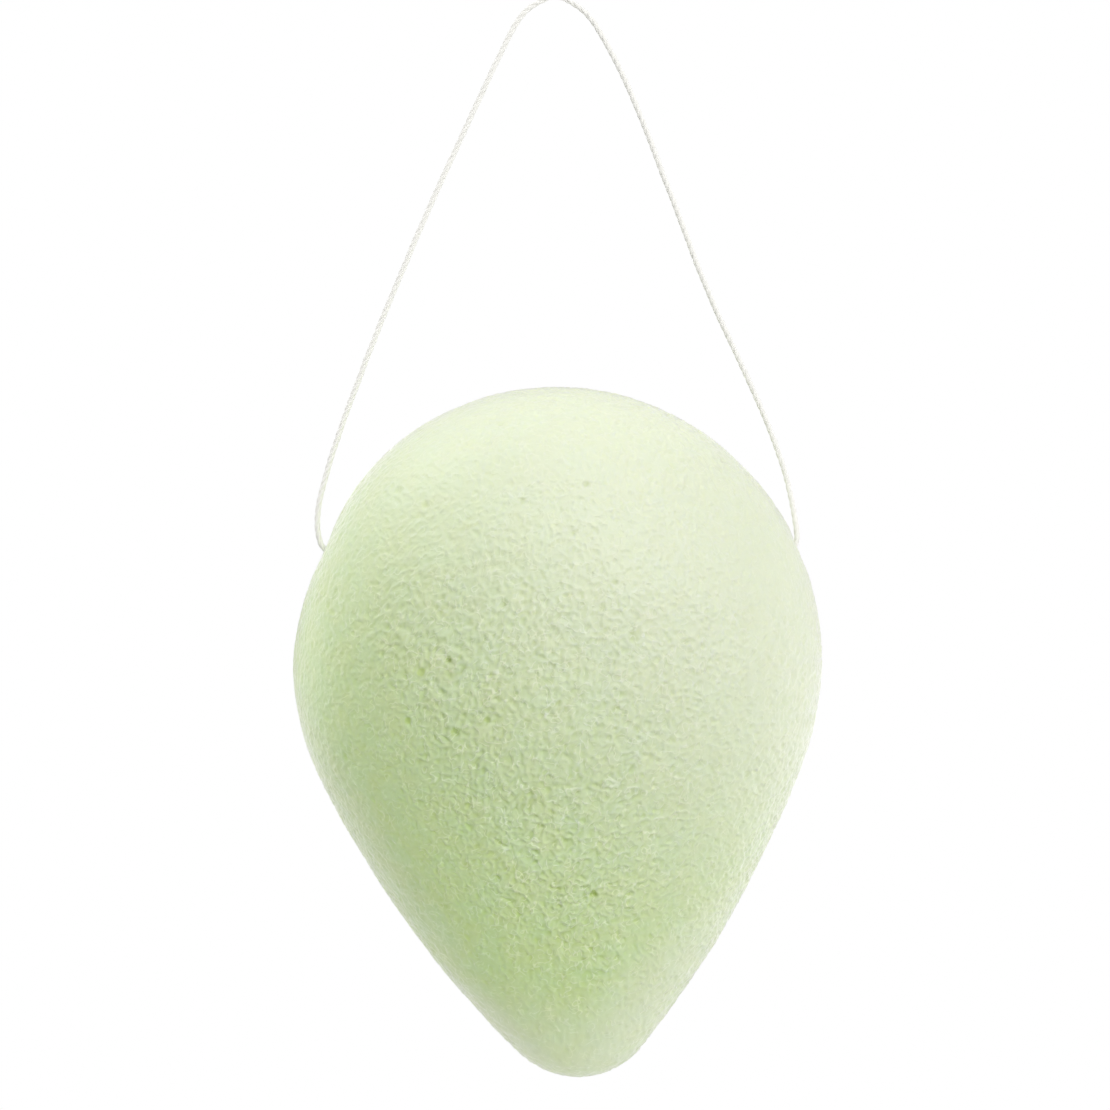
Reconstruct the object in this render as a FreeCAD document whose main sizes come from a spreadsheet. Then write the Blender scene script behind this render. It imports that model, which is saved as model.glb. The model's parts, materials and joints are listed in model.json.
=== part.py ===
import FreeCAD, Part
import math
import os

import Sketcher

# A drop of konjac foam that hangs on a loop of cotton string.
# Millimetres, +Z up, +X to the right seen from the front, front towards -Y.
# The origin is inside the top of the loop, where a hook carries it.

VECTOR = FreeCAD.Vector
LEFTWARD = VECTOR(-1, 0, 0)
RIGHTWARD = VECTOR(1, 0, 0)
BACKWARD = VECTOR(0, 1, 0)
UPWARD = VECTOR(0, 0, 1)

# Driving dimensions, in millimetres and degrees
SIZES = (
    ("sponge_width", 69.0, "across the drop at its widest level"),
    ("crown_height", 35.4, "from the widest level up to the crown"),
    ("tip_reach", 54.6, "from the widest level down to the tip"),
    ("tip_radius", 11.4, "rounding of the tip in the outline"),
    ("flank_radius", 136.0, "slow bulge of the flank between belly and tip"),
    ("front_depth", 25.0, "from the seam plane forward to the face"),
    ("back_depth", 19.0, "from the seam plane back to the flat"),
    ("back_round", 9.0, "soft edge round the flat back"),
    ("hang_tilt", 3.5, "degrees that the drop hangs off plumb, tip to the right"),
    ("side_shift", 0.4, "how far right of the hook the widest level's middle hangs"),
    ("channel_rise", 14.0, "string channel above the widest level"),
    ("string_diameter", 0.75, "twisted cotton string"),
    ("channel_clearance", 0.08, "gap all round the string in its channel"),
    ("dimple_radius", 7.0, "round of the dimple that the string pulls into each side"),
    ("dimple_lead", 0.4, "from the end of the free loop out to the dimple's bottom"),
    ("knot_length", 4.0, "knot along the string"),
    ("knot_diameter", 2.6, "knot across the string"),
    ("pocket_clearance", 0.3, "gap round the knot in its hollow"),
)

# The free loop as x and z in the plane y = 0: out of the left dimple, over the hook, down into the right one
LOOP_ROUTE = (
    (-28.4, -71.7), (-29.85, -71.7), (-30.75, -70.5), (-30.85, -68.4), (-30.5, -64.8),
    (-28.2, -56.8), (-22.6, -42.0), (-15.9, -26.2), (-9.4, -12.2), (-6.1, -5.2),
    (-4.2, -1.75), (-1.9, -0.18), (0.1, 0.62), (2.1, -0.1), (4.4, -1.75),
    (6.5, -5.0), (10.0, -11.8), (15.1, -25.0), (20.0, -38.2), (26.4, -51.6),
    (29.7, -60.0), (31.05, -65.6), (31.6, -68.9), (31.6, -70.6), (30.7, -71.7), (29.3, -71.7),
)

# Each arc of the loop takes this share of the shorter run beside its corner
ROUND_SHARE = 0.45

doc = FreeCAD.newDocument("konjac_sponge")


def write_sheet(rows):
    """Puts the driving dimensions, and what follows from the loop's route, into named cells."""
    made = doc.addObject("Spreadsheet::Sheet", "sizes")
    for row, (alias, value, note) in enumerate(rows, 1):
        made.set(f"A{row}", note)
        made.set(f"B{row}", str(value))
        made.setAlias(f"B{row}", alias)
    doc.recompute()
    return made


(left_end, channel_level), (right_end, _) = LOOP_ROUTE[0], LOOP_ROUTE[-1]
ROUTE_CELLS = (
    ("left_end", left_end, "where the free loop starts, under the left dimple"),
    ("right_end", right_end, "where the free loop ends, under the right dimple"),
    ("channel_level", channel_level, "the channel's height, below the hook"),
    ("knot_place", (left_end + right_end) / 2, "the knot's middle, half way through the foam"),
)
sheet = write_sheet(SIZES + ROUTE_CELLS)


def size(alias):
    """The value of a named cell."""
    return float(sheet.get(alias))


def bind(made, **expressions):
    """Ties an object's properties to the sheet. A double underscore stands for a dot."""
    for name, expression in expressions.items():
        made.setExpression(name.replace("__", "."), expression)
    return made


def turned(axis, place=VECTOR()):
    """A placement that points an object's own Z along this axis."""
    return FreeCAD.Placement(place, FreeCAD.Rotation(UPWARD, axis))


# The foam drop

def drop_outline():
    """Half of the drop's outline: crown, belly, flank and tip, closed by the long axis."""
    crown, tip = size("crown_height"), size("tip_radius")
    flank = size("flank_radius")
    tip_level = tip - size("tip_reach")
    # The flank's centre lies where its arc touches the belly's circle and the tip's
    rise = ((flank - tip) ** 2 - (flank - crown) ** 2 - tip_level ** 2) / (-2 * tip_level)
    aside = -math.sqrt((flank - crown) ** 2 - rise ** 2)
    belly_turn = math.atan2(-rise, -aside)
    tip_turn = math.atan2(tip_level - rise, -aside)

    made = doc.addObject("Sketcher::SketchObject", "drop_outline")
    made.Placement = FreeCAD.Placement(VECTOR(), FreeCAD.Rotation(RIGHTWARD, 90))

    def arc(x, y, radius, start, end):
        circle = Part.Circle(VECTOR(x, y, 0), UPWARD, radius)
        return made.addGeometry(Part.ArcOfCircle(circle, start, end))

    crown_arc = arc(0, 0, crown, 0, math.pi / 2)
    belly_arc = arc(0, 0, crown, belly_turn, 0)
    flank_arc = arc(aside, rise, flank, tip_turn, belly_turn)
    tip_arc = arc(0, tip_level, tip, -math.pi / 2, tip_turn)
    axis = made.addGeometry(Part.LineSegment(VECTOR(0, crown, 0), VECTOR(0, -size("tip_reach"), 0)))

    start, end, centre = 1, 2, 3
    origin, level, upright = -1, -1, -2
    for rule in (
        ("Coincident", crown_arc, centre, origin, start),
        ("Coincident", belly_arc, centre, origin, start),
        ("Tangent", tip_arc, end, flank_arc, start),
        ("Tangent", flank_arc, end, belly_arc, start),
        ("Coincident", belly_arc, end, crown_arc, start),
        ("Coincident", crown_arc, end, axis, start),
        ("Coincident", axis, end, tip_arc, start),
        ("PointOnObject", crown_arc, start, level),
        ("PointOnObject", crown_arc, end, upright),
        ("PointOnObject", tip_arc, start, upright),
        ("PointOnObject", tip_arc, centre, upright),
    ):
        made.addConstraint(Sketcher.Constraint(*rule))
    for alias, rule in (
        ("crown_height", ("Radius", crown_arc, crown)),
        ("flank_radius", ("Radius", flank_arc, flank)),
        ("tip_radius", ("Radius", tip_arc, tip)),
        ("tip_reach", ("DistanceY", tip_arc, start, origin, start, size("tip_reach"))),
    ):
        made.renameConstraint(made.addConstraint(Sketcher.Constraint(*rule)), alias)
        made.setExpression(f"Constraints.{alias}", f"sizes.{alias}")
    return made


def quarter_drop(outline):
    """The right back quarter of the drop, turned about its long axis and squeezed to its width and depth."""
    turned_quarter = doc.addObject("Part::Revolution", "round_quarter")
    turned_quarter.Source = outline
    turned_quarter.Axis = UPWARD
    turned_quarter.Angle = 90
    turned_quarter.Solid = True
    doc.recompute()
    squeeze = FreeCAD.Matrix()
    squeeze.scale(
        size("sponge_width") / 2 / size("crown_height"), size("front_depth") / size("crown_height"), 1
    )
    made = doc.addObject("Part::Feature", "squeezed_quarter")
    made.Shape = turned_quarter.Shape.transformGeometry(squeeze)
    return made


def mirror_image(piece, normal):
    """The mirror image of a piece across a plane through the long axis."""
    made = doc.addObject("Part::Mirroring", f"{piece.Name}_image")
    made.Source = piece
    made.Normal = normal
    return made


def joined(name, piece, other):
    """Two pieces that share a face, as one."""
    made = doc.addObject("Part::Fuse", name)
    made.Base = piece
    made.Tool = other
    return made


def flat_backed(quarter):
    """A back quarter with its back cut flat and the cut's curved rim rounded off."""
    behind = bind(
        doc.addObject("Part::Box", "behind_the_back"),
        Length="sizes.sponge_width",
        Width="sizes.front_depth",
        Height="sizes.crown_height + sizes.tip_reach",
        Placement__Base__x="-sizes.sponge_width / 2",
        Placement__Base__y="sizes.back_depth",
        Placement__Base__z="-sizes.tip_reach",
    )
    cut = doc.addObject("Part::Cut", "cut_quarter")
    cut.Base = quarter
    cut.Tool = behind
    doc.recompute()

    flat = next(face for face in cut.Shape.Faces if isinstance(face.Surface, Part.Plane))
    rim = [edge for edge in flat.Edges if edge.BoundBox.XLength > Part.Precision.confusion()]
    radius = size("back_round")
    made = doc.addObject("Part::Fillet", "rounded_quarter")
    made.Base = cut
    made.Edges = [
        (number, radius, radius) for number, edge in enumerate(cut.Shape.Edges, 1)
        if any(edge.isSame(curved) for curved in rim)
    ]
    return made


def whole_drop():
    """Front and back of the right half, joined to their mirror images on the left."""
    quarter = quarter_drop(drop_outline())
    half = joined("half_drop", mirror_image(quarter, BACKWARD), flat_backed(quarter))
    made = joined("hung_drop", half, mirror_image(half, RIGHTWARD))
    doc.recompute()
    return made


def hang(drop):
    """Hangs the drop askew on its channel, with its centre of mass in the loop's plane."""
    balance = drop.Shape.CenterOfGravity.y
    drop.Placement = FreeCAD.Placement(
        VECTOR(0, -balance, 0), FreeCAD.Rotation(BACKWARD, -size("hang_tilt"))
    )
    return bind(
        drop,
        Placement__Base__x="sizes.side_shift",
        Placement__Base__z="sizes.channel_level - sizes.channel_rise",
    )


def string_way():
    """What the string takes out of the foam: the channel, a dimple at each end, the knot's hollow."""
    channel = doc.addObject("Part::Cylinder", "channel")
    channel.Placement = turned(RIGHTWARD)
    bind(
        channel,
        Radius="sizes.string_diameter / 2 + sizes.channel_clearance",
        Height="sizes.right_end - sizes.left_end + 4 * sizes.dimple_lead",
        Placement__Base__x="sizes.left_end - 2 * sizes.dimple_lead",
        Placement__Base__z="sizes.channel_level",
    )
    dimples = []
    for name, outward, place in (
        ("left_dimple", LEFTWARD, "sizes.left_end - sizes.dimple_lead - sizes.dimple_radius"),
        ("right_dimple", RIGHTWARD, "sizes.right_end + sizes.dimple_lead + sizes.dimple_radius"),
    ):
        dimple = doc.addObject("Part::Sphere", name)
        dimple.Placement = turned(outward)
        bind(
            dimple,
            Radius="sizes.dimple_radius",
            Placement__Base__x=place,
            Placement__Base__z="sizes.channel_level",
        )
        dimples.append(dimple)
    hollow = doc.addObject("Part::Ellipsoid", "knot_hollow")
    hollow.Placement = turned(RIGHTWARD)
    bind(
        hollow,
        Radius1="sizes.knot_length / 2 + sizes.pocket_clearance",
        Radius2="sizes.knot_diameter / 2 + sizes.pocket_clearance",
        Radius3="sizes.knot_diameter / 2 + sizes.pocket_clearance",
        Placement__Base__x="sizes.knot_place",
        Placement__Base__z="sizes.channel_level",
    )
    made = doc.addObject("Part::MultiFuse", "string_way")
    made.Shapes = [channel, *dimples, hollow]
    return made


def sponge():
    """The foam drop with the string's way cut through it."""
    made = doc.addObject("Part::Cut", "sponge")
    made.Base = hang(whole_drop())
    made.Tool = string_way()
    return made


# The string

def rounded_route(points):
    """Straight runs joined by tangent arcs, and the arcs' radii."""
    edges, radii = [], []
    last = points[0]
    for before, corner, after in zip(points, points[1:], points[2:]):
        back, onward = before - corner, after - corner
        half_turn = (math.pi - back.getAngle(onward)) / 2
        reach = ROUND_SHARE * min(back.Length, onward.Length)
        radius = reach / math.tan(half_turn)
        back.normalize()
        onward.normalize()
        inward = (back + onward).normalize()
        start, end = corner + back * reach, corner + onward * reach
        middle = corner + inward * (radius / math.cos(half_turn) - radius)
        edges += [Part.LineSegment(last, start).toShape(), Part.Arc(start, middle, end).toShape()]
        radii.append(radius)
        last = end
    edges.append(Part.LineSegment(last, points[-1]).toShape())
    return Part.Wire(edges), radii


def string_loop():
    """The free loop: a round section swept along the route."""
    wire, radii = rounded_route([VECTOR(x, 0, z) for x, z in LOOP_ROUTE])
    route = doc.addObject("Part::Feature", "loop_route")
    route.Shape = wire
    section = doc.addObject("Part::Circle", "loop_section")
    section.Placement = turned(LEFTWARD, wire.OrderedVertexes[0].Point)
    bind(section, Radius="sizes.string_diameter / 2")
    made = doc.addObject("Part::Sweep", "string_loop")
    made.Sections = [section]
    made.Spine = (route, [f"Edge{number}" for number in range(1, len(wire.Edges) + 1)])
    made.Solid = True
    made.Frenet = False
    doc.recompute()
    plain_volume = math.pi * (size("string_diameter") / 2) ** 2 * wire.Length
    print("loop radii:", ", ".join(f"{radius:.2f}" for radius in radii))
    print(f"loop length: {wire.Length:.1f}, volume over section times length: "
          f"{made.Shape.Volume / plain_volume:.4f}")
    return made


def hidden_run(name, start, end):
    """A straight stretch of the string inside its channel, from one place along X to another."""
    made = doc.addObject("Part::Cylinder", name)
    made.Placement = turned(RIGHTWARD)
    return bind(
        made,
        Radius="sizes.string_diameter / 2",
        Height=f"({end}) - ({start})",
        Placement__Base__x=start,
        Placement__Base__z="sizes.channel_level",
    )


def string_knot():
    """The tied knot as a barrel whose ends are as wide as the string."""
    half, girth = size("knot_length") / 2, size("knot_diameter") / 2
    thin = size("string_diameter") / 2
    swell = girth - thin
    bulge = (half ** 2 + swell ** 2) / (2 * swell)
    turn = math.asin(half / bulge)

    outline = doc.addObject("Sketcher::SketchObject", "knot_outline")
    outline.Placement = FreeCAD.Placement(VECTOR(), FreeCAD.Rotation(RIGHTWARD, 90))
    corners = [VECTOR(-half, thin, 0), VECTOR(-half, 0, 0), VECTOR(half, 0, 0), VECTOR(half, thin, 0)]
    left_side, axis, right_side = (
        outline.addGeometry(Part.LineSegment(*pair)) for pair in zip(corners, corners[1:])
    )
    circle = Part.Circle(VECTOR(0, girth - bulge, 0), UPWARD, bulge)
    barrel = outline.addGeometry(Part.ArcOfCircle(circle, math.pi / 2 - turn, math.pi / 2 + turn))

    start, end = 1, 2
    origin, level, upright = -1, -1, -2
    for rule in (
        ("Coincident", left_side, end, axis, start),
        ("Coincident", axis, end, right_side, start),
        ("Coincident", right_side, end, barrel, start),
        ("Coincident", barrel, end, left_side, start),
        ("PointOnObject", axis, start, level),
        ("Symmetric", axis, start, axis, end, upright),
        ("Vertical", left_side),
        ("Vertical", right_side),
        ("Equal", left_side, right_side),
    ):
        outline.addConstraint(Sketcher.Constraint(*rule))
    added = "(sizes.knot_diameter - sizes.string_diameter)"
    for alias, rule, expression in (
        ("length", ("DistanceX", axis, start, axis, end, 2 * half), "sizes.knot_length"),
        ("thin", ("DistanceY", origin, start, right_side, end, thin), "sizes.string_diameter / 2"),
        ("bulge", ("Radius", barrel, bulge), f"sizes.knot_length ^ 2 / (4 * {added}) + {added} / 4"),
    ):
        outline.renameConstraint(outline.addConstraint(Sketcher.Constraint(*rule)), alias)
        outline.setExpression(f"Constraints.{alias}", expression)

    made = doc.addObject("Part::Revolution", "string_knot")
    made.Source = outline
    made.Axis = RIGHTWARD
    made.Angle = 360
    made.Solid = True
    return bind(made, Placement__Base__x="sizes.knot_place", Placement__Base__z="sizes.channel_level")


def check(pieces):
    """Stops unless every object was made and every piece is one valid solid."""
    failed = [made.Name for made in doc.Objects if {"Invalid", "Error"} & set(made.State)]
    broken = [
        made.Label for made in pieces
        if made.Shape.isNull() or not made.Shape.isValid() or len(made.Shape.Solids) != 1
    ]
    if failed or broken:
        raise RuntimeError(f"failed objects {failed}, broken pieces {broken}")


knot_left = "sizes.knot_place - sizes.knot_length / 2"
knot_right = "sizes.knot_place + sizes.knot_length / 2"
PIECES = (
    sponge(),
    string_loop(),
    hidden_run("string_left_run", "sizes.left_end", knot_left),
    hidden_run("string_right_run", knot_right, "sizes.right_end"),
    string_knot(),
)
doc.recompute()
check(PIECES)
os.makedirs("parts", exist_ok=True)
for piece in PIECES:
    piece.Shape.exportStep(f"parts/{piece.Label}.step")
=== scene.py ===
import json
import math
import random

import bpy
import numpy as np
from mathutils import Matrix, Vector, noise
from mathutils.bvhtree import BVHTree


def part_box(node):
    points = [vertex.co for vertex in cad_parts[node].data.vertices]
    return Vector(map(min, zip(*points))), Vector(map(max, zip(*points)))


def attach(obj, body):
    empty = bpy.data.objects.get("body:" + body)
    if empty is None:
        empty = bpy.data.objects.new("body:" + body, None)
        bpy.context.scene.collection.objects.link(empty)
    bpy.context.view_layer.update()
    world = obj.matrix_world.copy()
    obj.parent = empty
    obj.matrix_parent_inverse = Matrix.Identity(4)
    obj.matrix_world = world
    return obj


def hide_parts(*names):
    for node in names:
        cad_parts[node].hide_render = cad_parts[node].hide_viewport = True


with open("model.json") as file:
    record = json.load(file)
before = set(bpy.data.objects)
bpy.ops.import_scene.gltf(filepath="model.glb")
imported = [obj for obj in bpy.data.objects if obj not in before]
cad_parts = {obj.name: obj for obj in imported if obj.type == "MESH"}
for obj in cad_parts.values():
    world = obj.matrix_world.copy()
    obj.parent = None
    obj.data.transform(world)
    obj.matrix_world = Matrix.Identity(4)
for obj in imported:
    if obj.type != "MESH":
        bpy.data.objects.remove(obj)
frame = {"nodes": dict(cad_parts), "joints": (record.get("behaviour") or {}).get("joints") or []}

# A drop of konjac foam that hangs on a loop of twisted cotton string.
# Metres, +Z up, +X to the right seen from the front, front towards -Y.

MM = 0.001
NOISE_SEED = 4
noise.seed_set(NOISE_SEED)  # without a seed, the vector noise differs from run to run
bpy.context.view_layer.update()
joint = frame["joints"][0]
CHANNEL_LEVEL = joint["pos_m"][2]


def linked(name, data):
    """A new object in the scene."""
    made = bpy.data.objects.new(name, data)
    bpy.context.scene.collection.objects.link(made)
    return made


# The camera stands where the photograph was taken from

PHOTO_PIXELS = 1110
PIXEL = 0.130246 * MM
PHOTO_MIDDLE = (0.13 * MM, -72.2 * MM)
OUTLINE_PLANE = 0.8 * MM
LENS = 135
SENSOR = 36


def stand_camera():
    """A long lens that looks level along +Y and frames what the photograph frames."""
    data = bpy.data.cameras.new("camera")
    data.lens = LENS
    data.sensor_width = SENSOR
    camera = linked("camera", data)
    distance = PHOTO_PIXELS * PIXEL * LENS / SENSOR
    camera.location = (PHOTO_MIDDLE[0], OUTLINE_PLANE - distance, PHOTO_MIDDLE[1])
    camera.rotation_euler = (math.pi / 2, 0, 0)
    bpy.context.scene.camera = camera


# The string's free loop, as x and z in mm in the plane y = 0

LOOP_ROUTE = [
    (-28.4, -71.7), (-29.2, -71.75), (-30.0, -71.4), (-30.6, -70.1), (-30.9, -67.6), (-30.4, -64.4),
    (-28.2, -56.8), (-22.6, -42.0), (-15.9, -26.2), (-9.4, -12.2), (-6.1, -5.2),
    (-4.2, -1.75), (-1.9, -0.18), (0.1, 0.62), (2.1, -0.1), (4.4, -1.75),
    (6.5, -5.0), (10.0, -11.8), (15.1, -25.0), (20.0, -38.2), (26.4, -51.6),
    (29.7, -60.0), (31.05, -65.6), (31.6, -68.9), (31.6, -70.6), (30.7, -71.7), (29.3, -71.7),
]
STRING_DIAMETER = 0.75 * MM
SPLINE_ORDER = 3
SPLINE_STEPS = 24
PLIES = 3
PLY_SHARE = 0.31
PLY_SWELL = 0.1
SWELL_LENGTH = 0.8 * MM
LAY_LENGTH = 3.4 * MM
RING_STEP = 0.14 * MM
RING_SIDES = 10
STRIP_MARGIN = 0.1
STRIP_SHARE = 0.8
WOBBLE = 0.05 * MM
WOBBLE_LENGTH = 4 * MM
FUZZ_SPACING = 0.9 * MM
FUZZ_RADIUS = 0.012 * MM
FUZZ_LENGTH = (0.3 * MM, 0.9 * MM)
FUZZ_POINTS = 5
FUZZ_SIDES = 3
FUZZ_ROOT = 0.3 * STRING_DIAMETER
FUZZ_TIP_SHARE = 0.4
FUZZ_LIFT = 0.35
FUZZ_SWAY = 0.3
FUZZ_BEND = 0.6

# One half of the reef knot, in mm from its middle: the standing part comes from the left, goes round the
# other half's two legs and comes back as a short tail. The other half is the same, turned half round

KNOT_DIAMETER = 0.55 * MM
KNOT_HALF = [
    (-2.0, 0.0, 0.0), (-1.5, 0.15, 0.15), (-0.95, 0.3, 0.32), (-0.45, 0.0, 0.4), (0.0, -0.3, 0.62),
    (0.45, 0.0, 0.85), (0.95, 0.3, 0.8), (1.25, 0.32, 0.4), (1.3, 0.3, 0.0), (1.25, 0.32, -0.4),
    (0.95, 0.3, -0.8), (0.45, 0.0, -0.85), (0.0, -0.3, -0.62), (-0.45, 0.0, -0.4), (-0.95, 0.3, -0.32),
    (-1.5, 0.2, -0.45), (-1.9, 0.15, -0.55),
]


def smooth_line(name, points):
    """Points along a NURBS spline that has these control points."""
    curve = bpy.data.curves.new(name, "CURVE")
    curve.dimensions = "3D"
    curve.resolution_u = SPLINE_STEPS
    spline = curve.splines.new("NURBS")
    spline.points.add(len(points) - 1)
    for point, place in zip(spline.points, points):
        point.co = (*place, 1)
    spline.order_u = SPLINE_ORDER
    spline.use_endpoint_u = True
    holder = linked(name, curve)
    mesh = bpy.data.meshes.new_from_object(holder)
    line = np.array([vertex.co for vertex in mesh.vertices])
    bpy.data.objects.remove(holder)
    bpy.data.meshes.remove(mesh)
    return line


def evenly_spaced(line, step):
    """Points at equal steps along a line, and how far along each one is."""
    along = np.concatenate([[0], np.cumsum(np.linalg.norm(np.diff(line, axis=0), axis=1))])
    places = np.linspace(0, along[-1], max(2, round(along[-1] / step) + 1))
    return np.stack([np.interp(places, along, line[:, axis]) for axis in range(3)], axis=1), places


def across(line):
    """Two directions square to a line at each of its points, carried along without twisting."""
    ahead = np.gradient(line, axis=0)
    ahead /= np.linalg.norm(ahead, axis=1)[:, None]
    side = np.cross(ahead[0], (0, 1, 0))
    if np.linalg.norm(side) < 0.1:
        side = np.cross(ahead[0], (1, 0, 0))
    sides = []
    for direction in ahead:
        side = side - direction * (side @ direction)
        side = side / np.linalg.norm(side)
        sides.append(side)
    sides = np.array(sides)
    return sides, np.cross(ahead, sides)


def tube(line, radii, sides):
    """Vertices, faces and charts of a closed tube along a line, with pointed ends."""
    one, other = across(line)
    turn = np.arange(sides) * (2 * math.pi / sides)
    ring = np.cos(turn)[:, None] * one[:, None] + np.sin(turn)[:, None] * other[:, None]
    vertices = (line[:, None] + ring * radii[:, None, None]).reshape(-1, 3)
    vertices = np.concatenate([vertices, line[:1], line[-1:]])
    rows = len(line) - 1
    start, end = len(vertices) - 2, len(vertices) - 1
    faces, charts = [], []
    for column in range(sides):
        after = (column + 1) % sides
        low, high = column / sides, (column + 1) / sides
        for row in range(rows):
            first = row * sides
            faces.append((first + column, first + after, first + sides + after, first + sides + column))
            near, far = row / rows, (row + 1) / rows
            charts.append(((near, low), (near, high), (far, high), (far, low)))
        faces.append((start, after, column))
        charts.append(((0, low), (0, high), (0, low)))
        last = rows * sides
        faces.append((end, last + column, last + after))
        charts.append(((1, low), (1, low), (1, high)))
    return vertices, faces, charts


def in_strips(chart, first, folds):
    """A face's chart when its tube is laid out in this many strips, numbered from the first."""
    fold = min(int(min(along for along, _ in chart) * folds), folds - 1)
    low = first + fold + STRIP_MARGIN
    return [(along * folds - fold, low + STRIP_SHARE * around) for along, around in chart]


def side_by_side(tubes):
    """Several small tubes as one, with their charts side by side."""
    vertices, faces, charts = [], [], []
    count = 0
    for number, (tube_vertices, tube_faces, tube_charts) in enumerate(tubes):
        vertices.append(tube_vertices)
        faces += [tuple(index + count for index in face) for face in tube_faces]
        for chart in tube_charts:
            charts.append([((number + along) / len(tubes), around) for along, around in chart])
        count += len(tube_vertices)
    return np.concatenate(vertices), faces, charts


def joined_mesh(name, tubes, folds):
    """One mesh of several tubes, with smooth shading and strips of one chart for each tube."""
    vertices, faces, charts = [], [], []
    count, strip = 0, 0
    for tube_vertices, tube_faces, tube_charts in tubes:
        vertices.append(tube_vertices)
        faces += [tuple(index + count for index in face) for face in tube_faces]
        for chart in tube_charts:
            charts += in_strips(chart, strip, folds)
        count += len(tube_vertices)
        strip += folds
    mesh = bpy.data.meshes.new(name)
    mesh.from_pydata(np.concatenate(vertices).tolist(), [], faces)
    charts = np.array(charts) / (1, strip)
    mesh.uv_layers.new(name="OFBake").data.foreach_set("uv", charts.astype(np.float32).ravel())
    mesh.shade_smooth()
    mesh.update()
    return mesh


def wobbled(line, places):
    """The line with the slight waver that a limp string keeps, none of it at the ends."""
    ease = np.minimum(1, np.minimum(places, places[-1] - places) / WOBBLE_LENGTH)[:, None]
    sway = [noise.noise_vector((place / WOBBLE_LENGTH, 0.5, 0.5)) for place in places]
    return line + WOBBLE * ease * np.array(sway)


def plies(line, places, diameter):
    """The string's plies, each a tube that winds round the line."""
    one, other = across(line)
    ply_radius = PLY_SHARE * diameter
    made = []
    for ply in range(PLIES):
        turn = 2 * math.pi * (places / LAY_LENGTH + ply / PLIES)
        offset = np.cos(turn)[:, None] * one + np.sin(turn)[:, None] * other
        swell = [1 + PLY_SWELL * noise.noise((place / SWELL_LENGTH, 3 * ply, 0)) for place in places]
        radii = ply_radius * np.array(swell)
        made.append(tube(line + offset * (diameter / 2 - ply_radius), radii, RING_SIDES))
    return made


def fuzz(line, places, chance):
    """Loose fibre ends that stand off the string."""
    one, other = across(line)
    steps = np.linspace(0, 1, FUZZ_POINTS)[:, None]
    radii = np.full(FUZZ_POINTS, FUZZ_RADIUS) * np.linspace(1, FUZZ_TIP_SHARE, FUZZ_POINTS)
    made = []
    for _ in range(round(places[-1] / FUZZ_SPACING)):
        index = chance.randrange(2, len(line) - 2)
        turn = chance.uniform(0, 2 * math.pi)
        out = math.cos(turn) * one[index] + math.sin(turn) * other[index]
        ahead = line[index + 1] - line[index - 1]
        ahead = ahead / np.linalg.norm(ahead)
        reach = chance.uniform(*FUZZ_LENGTH)
        bend = chance.uniform(-FUZZ_BEND, FUZZ_BEND)
        root = line[index] + out * FUZZ_ROOT
        lean = ahead * chance.choice((-1, 1))
        fibre = root + reach * (steps * lean + FUZZ_LIFT * steps ** 2 * out)
        fibre = fibre + reach * bend * FUZZ_SWAY * steps ** 2 * np.cross(ahead, out)
        made.append(tube(fibre, radii, FUZZ_SIDES))
    return side_by_side(made)


def string_piece(name, tubes, node, folds):
    """A piece of the string, in place of its node."""
    made = linked(name, joined_mesh(name, tubes, folds))
    made.data.materials.append(cotton_material())
    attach(made, "hanging_string")
    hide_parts(node)
    return made


def hidden_run(name, node):
    """A straight run of the string inside the foam, as long as its node."""
    low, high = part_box(node)
    ends = np.array([(reach, 0, CHANNEL_LEVEL) for reach in (low.x, high.x)])
    return string_piece(name, plies(*evenly_spaced(ends, RING_STEP), STRING_DIAMETER), node, folds=2)


def reef_knot(node):
    """The knot that closes the loop inside the foam: two bights, each round the other's legs."""
    low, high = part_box(node)
    middle = np.array(low + high) / 2
    half = smooth_line("knot_line", np.array(KNOT_HALF) * MM)
    other_half = half * (-1, -1, 1)
    tubes = []
    for line in (half, other_half):
        tubes += plies(*evenly_spaced(middle + line, RING_STEP), KNOT_DIAMETER)
    return string_piece("cotton_knot", tubes, node, folds=1)


def free_loop():
    """The free loop of string, from one side of the foam to the other, where the hidden pieces go on."""
    line = smooth_line("loop_line", [(x * MM, 0, z * MM) for x, z in LOOP_ROUTE])
    line, places = evenly_spaced(line, RING_STEP)
    line = wobbled(line, places)
    tubes = plies(line, places, STRING_DIAMETER)
    tubes.append(fuzz(line, places, random.Random(4)))
    made = string_piece("cotton_loop", tubes, "string_loop", folds=6)


# The foam drop. Each dent has its side, its depth and its width

FOAM_STEP = 0.22 * MM
STEPS_SHARE = 1.5
CROWN_MIDDLE = np.array((0.4, 0.8, -85.7)) * MM
CROWN_HALF = np.array((34.5, 25.0, 35.4)) * MM
HANG_TILT = math.radians(3.5)
MOUTH_REACH = 11 * MM
DENTS = (
    (-1, 1.25 * MM, 10 * MM),
    (-1, 0.8 * MM, 1.6 * MM),
    (1, 0.8 * MM, 1.6 * MM),
)


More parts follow.
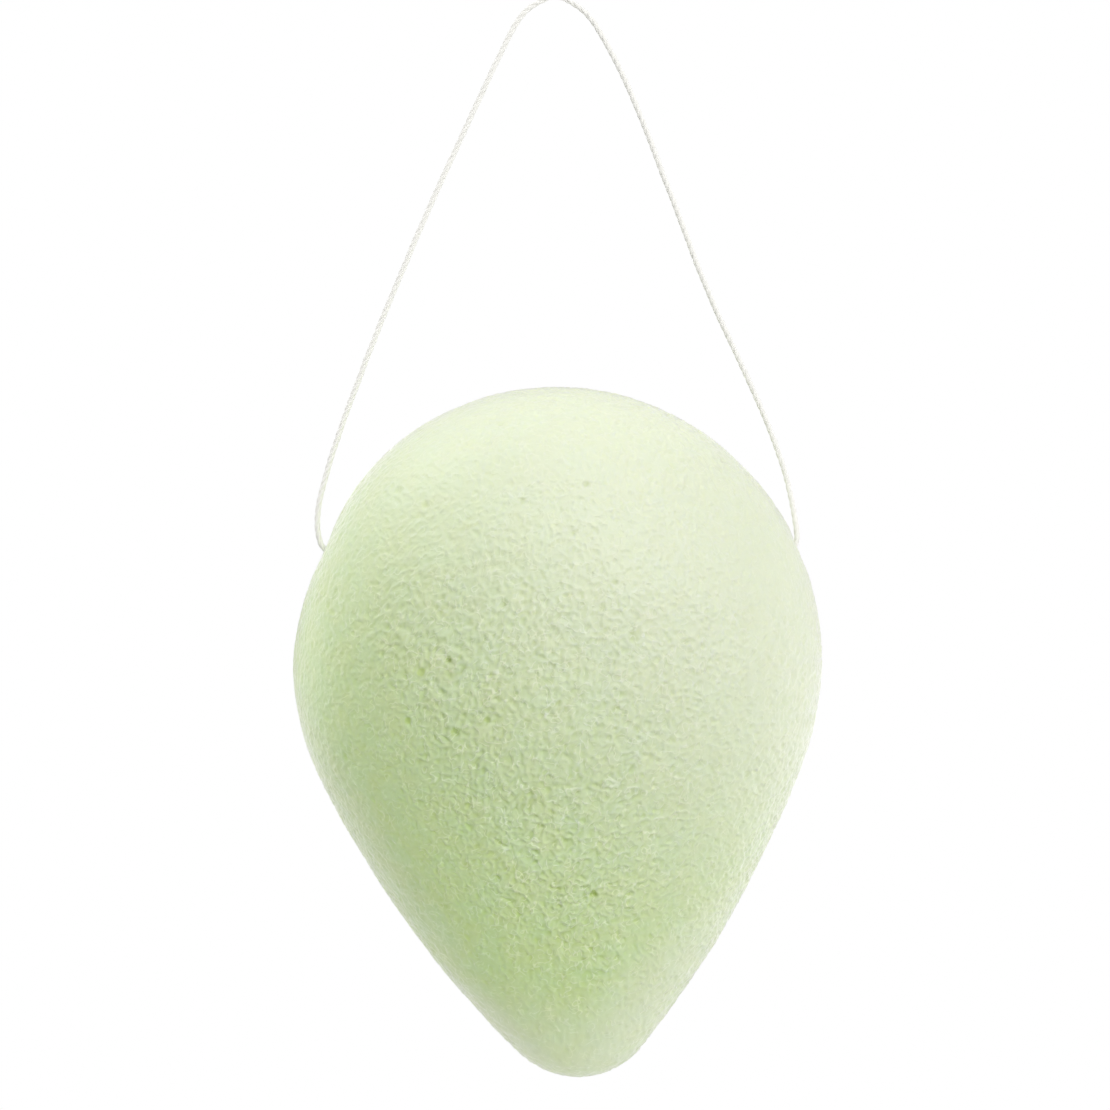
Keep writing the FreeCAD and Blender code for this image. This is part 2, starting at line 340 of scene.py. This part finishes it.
def box_lattice(counts):
    """Quads that cover a box of this many steps each way: corners on a lattice, and charts side by side."""
    corners, charts = [], []
    total = (sum(counts), 2 * max(counts))
    column = 0
    for axis in range(3):
        wide, high = sorted(((axis + 1) % 3, (axis + 2) % 3), key=lambda other: counts[other])
        for side in (0, 1):
            a, b = np.meshgrid(np.arange(counts[wide] + 1), np.arange(counts[high] + 1), indexing="ij")
            place = np.zeros((*a.shape, 3), int)
            place[..., axis] = side * counts[axis]
            place[..., wide], place[..., high] = a, b
            chart = np.stack([column + 1 + a * (1 - 2 / counts[wide]),
                              side * max(counts) + 1 + b * (1 - 2 / counts[high])], axis=-1) / total
            quads = [(slice(None, -1), slice(None, -1)), (slice(1, None), slice(None, -1)),
                     (slice(1, None), slice(1, None)), (slice(None, -1), slice(1, None))]
            turn_over = (wide == (axis + 1) % 3) != bool(side)
            if turn_over:
                quads.reverse()
            corners.append(np.stack([place[quad] for quad in quads], axis=2).reshape(-1, 4, 3))
            charts.append(np.stack([chart[quad] for quad in quads], axis=2).reshape(-1, 4, 2))
        column += counts[wide]
    return np.concatenate(corners), np.concatenate(charts)


def outward_ways(lattice, counts, half):
    """A direction from the middle for each corner of the lattice, spread evenly over the drop."""
    ways = np.tan((2 * lattice / np.array(counts) - 1) * math.pi / 4)
    ways *= np.array(half) / np.linalg.norm(ways, axis=1)[:, None]
    ways /= np.linalg.norm(ways, axis=1)[:, None]
    return ways


def foam_skin():
    """The drop's smooth skin as an even mesh, taken from the CAD solid by rays towards its middle."""
    low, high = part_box("sponge")
    middle, half = (low + high) / 2, (high - low) / 2
    counts = [round(STEPS_SHARE * reach / FOAM_STEP) for reach in half]
    corners, charts = box_lattice(counts)
    keys = corners @ np.array([1, counts[0] + 1, (counts[0] + 1) * (counts[1] + 1)])
    _, first, faces = np.unique(keys.ravel(), return_index=True, return_inverse=True)
    lattice = corners.reshape(-1, 3)[first]
    solid = frame["nodes"]["sponge"].data
    surface = BVHTree.FromPolygons(
        [vertex.co for vertex in solid.vertices], [face.vertices for face in solid.polygons]
    )
    reach = 2 * max(half)
    points = []
    for way in outward_ways(lattice, counts, half):
        way = Vector(way)
        points.append(surface.ray_cast(middle + reach * way, -way)[0])
    return dented(np.array(points)), faces.reshape(-1, 4), charts


def undimpled(points):
    """The skin with the solid's sharp dimples filled, up to the ball that the crown is part of."""
    lean = np.array(Matrix.Rotation(HANG_TILT, 3, "Y"))
    outward = points - CROWN_MIDDLE
    ball = np.linalg.norm(outward @ lean.T / CROWN_HALF, axis=1)
    aside = np.hypot(points[:, 1], points[:, 2] - CHANNEL_LEVEL)
    cut = (aside < MOUTH_REACH) & (ball < 1)
    points[cut] = CROWN_MIDDLE + outward[cut] / ball[cut, None]
    return points


def dented(points):
    """The skin with a soft dent and a small hole where the string goes in at each side."""
    points = undimpled(points)
    for side, depth, width in DENTS:
        aside = np.hypot(points[:, 1], points[:, 2] - CHANNEL_LEVEL)
        points[:, 0] -= side * depth * np.exp(-(aside / width) ** 2) * (side * points[:, 0] > 0)
    return points


# Crinkles, burst bubbles and pores in the foam's skin. Each seen pore has its x, its z and its radius

CRINKLE_SIZE = 0.85 * MM
CRINKLE_HEIGHT = 0.2 * MM
CRINKLE_SHARPNESS = 2.2
CRINKLE_LEVEL = 0.8
WARP = 0.4
WARP_SIZE = 1.6 * CRINKLE_SIZE
FINE_SIZE = 0.5 * MM
FINE_HEIGHT = 0.07 * MM
CELL_SIZE = 1.2 * MM
CELL_DEPTH = 0.19 * MM
CELL_SHUFFLE = 5.3
WALL_WIDTH_SHARE = 0.17
WALL_HEIGHT = 0.22 * MM
PORE_SIZE = 5 * MM
PORE_RADIUS_SHARE = 0.11
PORE_DEPTH = 0.35 * MM
PORE_SHUFFLE = 7.7
PORE_CHANCE = 0.25
PORE_SPREAD = 1.6
SMALLEST_PORE = 0.02
PORE_EDGE = 1.4
SEEN_PORE_EDGE = 1.5
SEEN_PORES = (
    (-12.4 * MM, -94.3 * MM, 0.5 * MM),
    (-18.4 * MM, -93.0 * MM, 0.4 * MM),
    (-8.3 * MM, -92.7 * MM, 0.35 * MM),
    (5.0 * MM, -115.0 * MM, 0.4 * MM),
    (-16.7 * MM, -86.9 * MM, 0.45 * MM),
    (-13.2 * MM, -85.2 * MM, 0.35 * MM),
    (-3.9 * MM, -65.4 * MM, 0.4 * MM),
    (2.3 * MM, -69.5 * MM, 0.4 * MM),
    (7.6 * MM, -75.5 * MM, 0.35 * MM),
    (-16.2 * MM, -65.8 * MM, 0.4 * MM),
    (4.0 * MM, -63.2 * MM, 0.35 * MM),
)
LUMP_SIZE = 9 * MM
LUMP_HEIGHT = 0.12 * MM

# How much crinkles, bubble walls and pores change the tone, which is 0 in a pit and 1 on a crest: painted
# shade in pits and pores, painted highlight on crests and walls

PLAIN_TONE = 0.5
CRINKLE_SHADE_AND_HIGHLIGHT = 0.22
CRINKLE_MEAN = 0.6
WALL_SHADE_AND_HIGHLIGHT = 0.2
WALL_MEAN = 0.4
PORE_PAINTED_SHADE = 0.9

# Where the foam is painted paler or is calmer: the direction from the crown's middle, how far out this
# starts, how far it takes to come in fully, and its full share. The paler sides are painted light: the lit
# crown and upper right, the rim-lit lower edges and the tip lit from below. The back is plain

PAINTED_LIGHT_SIDES = (
    (Vector((0.7, 0, 0.71)), -40 * MM, 66 * MM, 1.0),
    (Vector((0.75, 0, -0.66)), 27 * MM, 12 * MM, 0.75),
    (Vector((-0.86, 0, -0.51)), 27 * MM, 9 * MM, 0.58),
    (Vector((-0.62, 0, -0.78)), 37 * MM, 5 * MM, 0.8),
    (Vector((0, 0, -1)), 38 * MM, 14 * MM, 0.55),
)
CALM_SIDES = (
    (Vector((0.1, 0, 0.99)), 2 * MM, 14 * MM, 0.52),
    (Vector((-0.86, 0, -0.51)), 12 * MM, 17 * MM, 0.6),
    (Vector((0.95, 0, -0.31)), 11 * MM, 16 * MM, 0.45),
    (Vector((-0.9, 0, 0.44)), 12 * MM, 16 * MM, 0.35),
)
BACK_START = 4 * MM
BACK_REACH = 12 * MM
BACK_PALE = 0.45
BACK_ROUGH = 0.85


def eased(share):
    """A share between 0 and 1, with soft ends."""
    share = min(1, max(0, share))
    return share * share * (3 - 2 * share)


def pore_at(place):
    """How deep in a pore a place is, from 0 to 1."""
    distances, cells = noise.voronoi(place / PORE_SIZE)
    size = max(0, noise.noise(cells[0] * PORE_SHUFFLE) + PORE_CHANCE)
    wide = PORE_RADIUS_SHARE * size * PORE_SPREAD
    pore = eased(PORE_EDGE - distances[0] / wide) if wide > SMALLEST_PORE else 0
    if place.y < 0:
        for x, z, radius in SEEN_PORES:
            aside = math.hypot(place.x - x, place.z - z)
            pore = max(pore, eased(SEEN_PORE_EDGE - aside / radius))
    return pore


def relief(place):
    """How far the skin stands out at a place, and its tone, painted shade and highlight: 0 in a pit, 1 on a
    crest.
    """
    bent = place + WARP * CRINKLE_SIZE * noise.noise_vector(place / WARP_SIZE)
    crinkle = 1 - abs(noise.noise(bent / CRINKLE_SIZE)) * CRINKLE_SHARPNESS
    fine = noise.noise(place / FINE_SIZE)
    distances, cells = noise.voronoi(bent / CELL_SIZE)
    burst = 0.5 + 0.5 * noise.noise(cells[0] * CELL_SHUFFLE)
    wall = math.exp(-((distances[1] - distances[0]) / WALL_WIDTH_SHARE) ** 2)
    pore = pore_at(place)
    height = CRINKLE_HEIGHT * (crinkle - CRINKLE_LEVEL) + FINE_HEIGHT * fine
    height += WALL_HEIGHT * wall * (1 - burst) - CELL_DEPTH * (1 - wall) * burst - PORE_DEPTH * pore
    # The tone paints shade in pits, cell hollows and pores, and a highlight on crinkle crests and bubble
    # walls
    tone = PLAIN_TONE + CRINKLE_SHADE_AND_HIGHLIGHT * (crinkle - CRINKLE_MEAN)
    tone += WALL_SHADE_AND_HIGHLIGHT * (wall - WALL_MEAN) * burst - PORE_PAINTED_SHADE * pore
    return height, tone


def skin_at(place, middle):
    """The relief and tone (painted shade and highlight) at a place, how far it is painted paler where light
    falls (a plain share on the back), and how rough the foam is there, from 0 to 1.
    """
    from_middle = place - middle
    pale_and_painted_light, rough = 0, 1
    # Painted light: paler towards the lit and rim-lit sides
    for side, start, reach, share in PAINTED_LIGHT_SIDES:
        pale_and_painted_light = max(pale_and_painted_light, share * eased((from_middle.dot(side) - start) / reach))
    for side, start, reach, share in CALM_SIDES:
        rough *= 1 - share * eased((from_middle.dot(side) - start) / reach)
    back = eased((place.y - BACK_START) / BACK_REACH)
    pale_and_painted_light += back * (BACK_PALE - pale_and_painted_light)
    rough += back * (BACK_ROUGH - rough)
    height, tone = relief(place)
    lump = LUMP_HEIGHT * (noise.noise(place / LUMP_SIZE) - 0.5)
    return rough * height + lump, PLAIN_TONE + rough * (tone - PLAIN_TONE), pale_and_painted_light, rough


def foam_drop():
    """The foam drop, with its crinkled, pitted skin."""
    points, faces, charts = foam_skin()
    mesh = bpy.data.meshes.new("konjac_foam")
    mesh.from_pydata(points.tolist(), [], faces.tolist())
    mesh.uv_layers.new(name="OFBake").data.foreach_set("uv", charts.astype(np.float32).ravel())
    mesh.update()
    outward = np.array([normal.vector for normal in mesh.vertex_normals])
    middle = Vector(CROWN_MIDDLE)
    heights, shade_and_highlight_tones, pale_and_painted_light_values, roughs = np.array([skin_at(Vector(point), middle) for point in points]).T
    mesh.vertices.foreach_set("co", (points + outward * heights[:, None]).astype(np.float32).ravel())
    # The tone is painted shade and highlight; the paler share is painted light, with a plain share on the
    # back
    for name, values in (("tone", shade_and_highlight_tones), ("pale_and_painted_light", pale_and_painted_light_values), ("rough", roughs)):
        mesh.attributes.new(name, "FLOAT", "POINT").data.foreach_set("value", values.astype(np.float32))
    mesh.shade_smooth()
    mesh.update()
    made = linked("konjac_foam", mesh)
    made.data.materials.append(foam_material())
    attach(made, "foam_drop")
    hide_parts("sponge")


# Materials

class Shader:
    """A material's node tree, with a short way to add nodes and set or link their sockets."""

    def __init__(self, name):
        self.material = bpy.data.materials.new(name)
        self.material.use_nodes = True
        self.tree = self.material.node_tree
        self.principled = self.tree.nodes["Principled BSDF"]

    def set(self, node, **values):
        """Sets or links a node's sockets. In a name, _6 is socket 6, and else _ is a space."""
        for name, value in values.items():
            socket = node.inputs[int(name[1:]) if name[1:].isdigit() else name.replace("_", " ")]
            if isinstance(value, bpy.types.NodeSocket):
                self.tree.links.new(value, socket)
            else:
                socket.default_value = value
        return node

    def node(self, kind, settings=None, **values):
        """A new node, with its settings and its sockets."""
        made = self.tree.nodes.new(kind)
        for name, value in (settings or {}).items():
            setattr(made, name, value)
        return self.set(made, **values)

    def noise(self, size, detail=2.0):
        """Noise with features of this size, in metres, fixed to the piece."""
        where = self.node("ShaderNodeTexCoord").outputs["Object"]
        made = self.node("ShaderNodeTexNoise", Vector=where, Scale=1 / size, Detail=detail)
        return made.outputs["Fac"]

    def ramp(self, value, *stops):
        """A colour ramp, from pairs of place and colour."""
        made = self.node("ShaderNodeValToRGB", Fac=value)
        elements = made.color_ramp.elements
        for element, (place, colour) in zip(elements, stops):
            element.position, element.color = place, (*colour, 1)
        for place, colour in stops[len(elements):]:
            elements.new(place).color = (*colour, 1)
        return made.outputs["Color"]

    def mixed(self, share, one, other, blend="MIX"):
        """Two colours mixed."""
        made = self.node("ShaderNodeMix", {"data_type": "RGBA", "blend_type": blend})
        self.set(made, _0=share, _6=one, _7=other)
        return made.outputs[2]

    def product(self, one, other):
        """Two values multiplied."""
        return self.node("ShaderNodeMath", {"operation": "MULTIPLY"}, _0=one, _1=other).outputs[0]


# Colours: painted glint on the crest lines, painted highlight on ridges, painted shade in pits and pores,
# and a paler colour painted where light falls (a plain share of it on the back). The body green and the
# warm and cool tints are the foam's own
PAINTED_CREST_GLINT_GREEN = (0.85, 0.92, 0.7)
PAINTED_RIDGE_HIGHLIGHT_GREEN = (0.685, 0.795, 0.495)
BODY_GREEN = (0.51, 0.65, 0.295)
PAINTED_PIT_SHADE_GREEN = (0.4, 0.56, 0.1)
PALE_AND_PAINTED_LIGHT_GREEN = (0.765, 0.765, 0.68)
WARM_TINT = (1, 0.99, 0.93)
COOL_TINT = (0.965, 1, 1)
BLACK = (0, 0, 0)
WHITE = (1, 1, 1)
CREST_GLINT_SHARE = 0.65
CREST_LINE = 0.85 * MM
CREST_PATCH = 1.4 * MM
PALE_AND_PAINTED_LIGHT_SHARE = 0.68
HUE_PATCH = 3.5 * MM
GRAIN = 0.45 * MM
BUMP = 0.1 * MM
FIBRE = 0.06 * MM
FIBRE_BUMP = 0.03 * MM
COTTON_DARK = (0.8, 0.795, 0.775)
COTTON_LIGHT = (0.84, 0.836, 0.82)


def foam_material():
    """Pale green foam, translucent and matte, with painted highlight along its ridges and crest lines,
    painted shade in its pits, and a paler colour painted where light falls.
    """
    shader = Shader("konjac_foam")
    tone = shader.node("ShaderNodeAttribute", {"attribute_name": "tone"}).outputs["Fac"]
    pale_and_painted_light = shader.node("ShaderNodeAttribute", {"attribute_name": "pale_and_painted_light"}).outputs["Fac"]
    rough = shader.node("ShaderNodeAttribute", {"attribute_name": "rough"}).outputs["Fac"]
    line = shader.ramp(shader.noise(CREST_LINE, 0.0), (0.43, BLACK), (0.5, WHITE), (0.57, BLACK))
    patch = shader.ramp(shader.noise(CREST_PATCH, 1.0), (0.42, BLACK), (0.58, WHITE))
    crest_bump_and_glint = shader.product(shader.product(line, patch), rough)
    # The tone ramp paints shade in pits and pores and a highlight on ridges
    colour = shader.ramp(tone, (0, PAINTED_PIT_SHADE_GREEN), (0.5, BODY_GREEN), (1, PAINTED_RIDGE_HIGHLIGHT_GREEN))
    # Painted glint along the crest lines, which are also a bump
    colour = shader.mixed(shader.product(crest_bump_and_glint, CREST_GLINT_SHARE), colour, (*PAINTED_CREST_GLINT_GREEN, 1))
    hue = shader.ramp(shader.noise(HUE_PATCH, 3.0), (0.38, WARM_TINT), (0.62, COOL_TINT))
    colour = shader.mixed(1, colour, hue, "MULTIPLY")
    # Painted light: a paler colour where light falls, and a plain share of the same colour on the back
    colour = shader.mixed(shader.product(pale_and_painted_light, PALE_AND_PAINTED_LIGHT_SHARE), colour, (*PALE_AND_PAINTED_LIGHT_GREEN, 1))
    grain = shader.noise(GRAIN, 2.0)
    bump = shader.node("ShaderNodeBump", Height=grain, Distance=BUMP, Strength=0.7)
    raised = shader.node(
        "ShaderNodeBump", Height=crest_bump_and_glint, Distance=BUMP, Strength=0.6, Normal=bump.outputs["Normal"]
    )
    shader.set(
        shader.principled, Base_Color=colour, Normal=raised.outputs["Normal"], Roughness=0.5,
        Subsurface_Weight=0.25, Subsurface_Radius=(1, 1.1, 0.3), Subsurface_Scale=8 * MM,
        Sheen_Weight=1.0, Sheen_Roughness=0.35, Sheen_Tint=(1, 1, 0.97, 1),
        Specular_IOR_Level=0.5,
    )
    return shader.material


def cotton_material():
    """Off-white cotton."""
    known = bpy.data.materials.get("cotton_string")
    if known:
        return known
    shader = Shader("cotton_string")
    fibre = shader.noise(FIBRE, 3.0)
    tone = shader.ramp(fibre, (0.3, COTTON_DARK), (0.7, COTTON_LIGHT))
    bump = shader.node("ShaderNodeBump", Height=fibre, Distance=FIBRE_BUMP, Strength=0.3)
    shader.set(
        shader.principled, Base_Color=tone, Normal=bump.outputs["Normal"], Roughness=0.85,
        Subsurface_Weight=0.5, Subsurface_Radius=(1, 1, 1), Subsurface_Scale=0.4 * MM,
        Sheen_Weight=0.3, Sheen_Roughness=0.4, Specular_IOR_Level=0.2,
    )
    return shader.material


# Studio light. Each lamp has its name, its place from the middle, its size, and the share that it adds to a
# plain colour. The surround is brighter towards one side

AMBIENT = 0.535
BRIGHT_SIDE = (0.6, 0.0, 0.8)
BRIGHT_SHARE = 0.95
MIDDLE = Vector((0, 0, -0.085))
LAMPS = (
    ("key", (0.28, -0.78, 0.58), 0.3, 0.51),
    ("top", (-0.6, 0.1, 0.8), 0.5, 0.37),
    ("left_rim", (-0.75, 0.4, 0.0), 0.5, 0.26),
    ("right_rim", (0.7, 0.4, -0.2), 0.4, 0.18),
)


def surround_light(tree):
    """The surround's light on the object, from a background that is brighter towards one side."""
    given = tree.nodes.new("ShaderNodeBackground")
    where = tree.nodes.new("ShaderNodeTexCoord")
    toward = tree.nodes.new("ShaderNodeVectorMath")
    toward.operation = "DOT_PRODUCT"
    toward.inputs[1].default_value = BRIGHT_SIDE
    level = tree.nodes.new("ShaderNodeMapRange")
    level.inputs["From Min"].default_value = -1
    level.inputs["To Min"].default_value = AMBIENT * (1 - BRIGHT_SHARE)
    level.inputs["To Max"].default_value = AMBIENT * (1 + BRIGHT_SHARE)
    tree.links.new(where.outputs["Generated"], toward.inputs[0])
    tree.links.new(toward.outputs["Value"], level.inputs["Value"])
    tree.links.new(level.outputs[0], given.inputs["Strength"])
    return given


def surround():
    """A surround that lights the object softly, and that the camera and reflections see as white."""
    world = bpy.data.worlds.new("studio")
    bpy.context.scene.world = world
    world.use_nodes = True
    tree = world.node_tree
    seen = tree.nodes["Background"]
    seen.inputs["Color"].default_value = (1, 1, 1, 1)
    given = surround_light(tree)
    path = tree.nodes.new("ShaderNodeLightPath")
    mix = tree.nodes.new("ShaderNodeMixShader")
    either = path.outputs["Is Camera Ray"]
    for name in ("Is Glossy Ray", "Is Transmission Ray"):
        larger = tree.nodes.new("ShaderNodeMath")
        larger.operation = "MAXIMUM"
        tree.links.new(either, larger.inputs[0])
        tree.links.new(path.outputs[name], larger.inputs[1])
        either = larger.outputs[0]
    tree.links.new(either, mix.inputs[0])
    tree.links.new(given.outputs[0], mix.inputs[1])
    tree.links.new(seen.outputs[0], mix.inputs[2])
    tree.links.new(mix.outputs[0], tree.nodes["World Output"].inputs["Surface"])


def hang_lamps():
    """Soft round lamps that face the middle."""
    for name, place, size, share in LAMPS:
        data = bpy.data.lights.new(name, "AREA")
        data.shape = "DISK"
        data.size = size
        data.energy = share * math.pi ** 2 * Vector(place).length_squared
        lamp = linked(name, data)
        lamp.location = MIDDLE + Vector(place)
        lamp.rotation_euler = (-Vector(place)).to_track_quat("-Z", "Y").to_euler()


# The floor lies well below, and fades to white towards its rim

FLOOR_LEVEL = -0.36
FLOOR_RADIUS = 0.55
FLOOR_SIDES = 96
FLOOR_PALE = (0.9, 0.9, 0.9, 1)
FADE_START = 0.35 * FLOOR_RADIUS


def lay_floor():
    """A plain, nearly white disc that takes the sponge's shadow."""
    turns = [2 * math.pi * side / FLOOR_SIDES for side in range(FLOOR_SIDES)]
    rim = [(FLOOR_RADIUS * math.cos(turn), FLOOR_RADIUS * math.sin(turn), 0) for turn in turns]
    mesh = bpy.data.meshes.new("floor")
    mesh.from_pydata(rim, [], [range(FLOOR_SIDES)])
    floor = linked("floor", mesh)
    floor.location.z = FLOOR_LEVEL
    shader = Shader("floor")
    shader.set(shader.principled, Base_Color=FLOOR_PALE, Roughness=0.9, Specular_IOR_Level=0.1)
    where = shader.node("ShaderNodeTexCoord").outputs["Object"]
    out = shader.node("ShaderNodeVectorMath", {"operation": "LENGTH"}, _0=where).outputs["Value"]
    share = shader.node("ShaderNodeMapRange", Value=out, From_Min=FADE_START, From_Max=FLOOR_RADIUS)
    white = shader.node("ShaderNodeEmission", Color=(1, 1, 1, 1), Strength=1.0)
    seen = shader.node("ShaderNodeLightPath").outputs["Is Camera Ray"]
    mix = shader.node("ShaderNodeMixShader", _0=shader.product(share.outputs[0], seen))
    shader.set(mix, _1=shader.principled.outputs[0], _2=white.outputs[0])
    shader.set(shader.tree.nodes["Material Output"], Surface=mix.outputs[0])
    mesh.materials.append(shader.material)


stand_camera()
hidden_pieces = [
    hidden_run("cotton_left_run", "string_left_run"),
    hidden_run("cotton_right_run", "string_right_run"),
    reef_knot("string_knot"),
]
free_loop()
foam_drop()
lay_floor()
surround()
hang_lamps()
bpy.context.scene.view_settings.view_transform = "Standard"
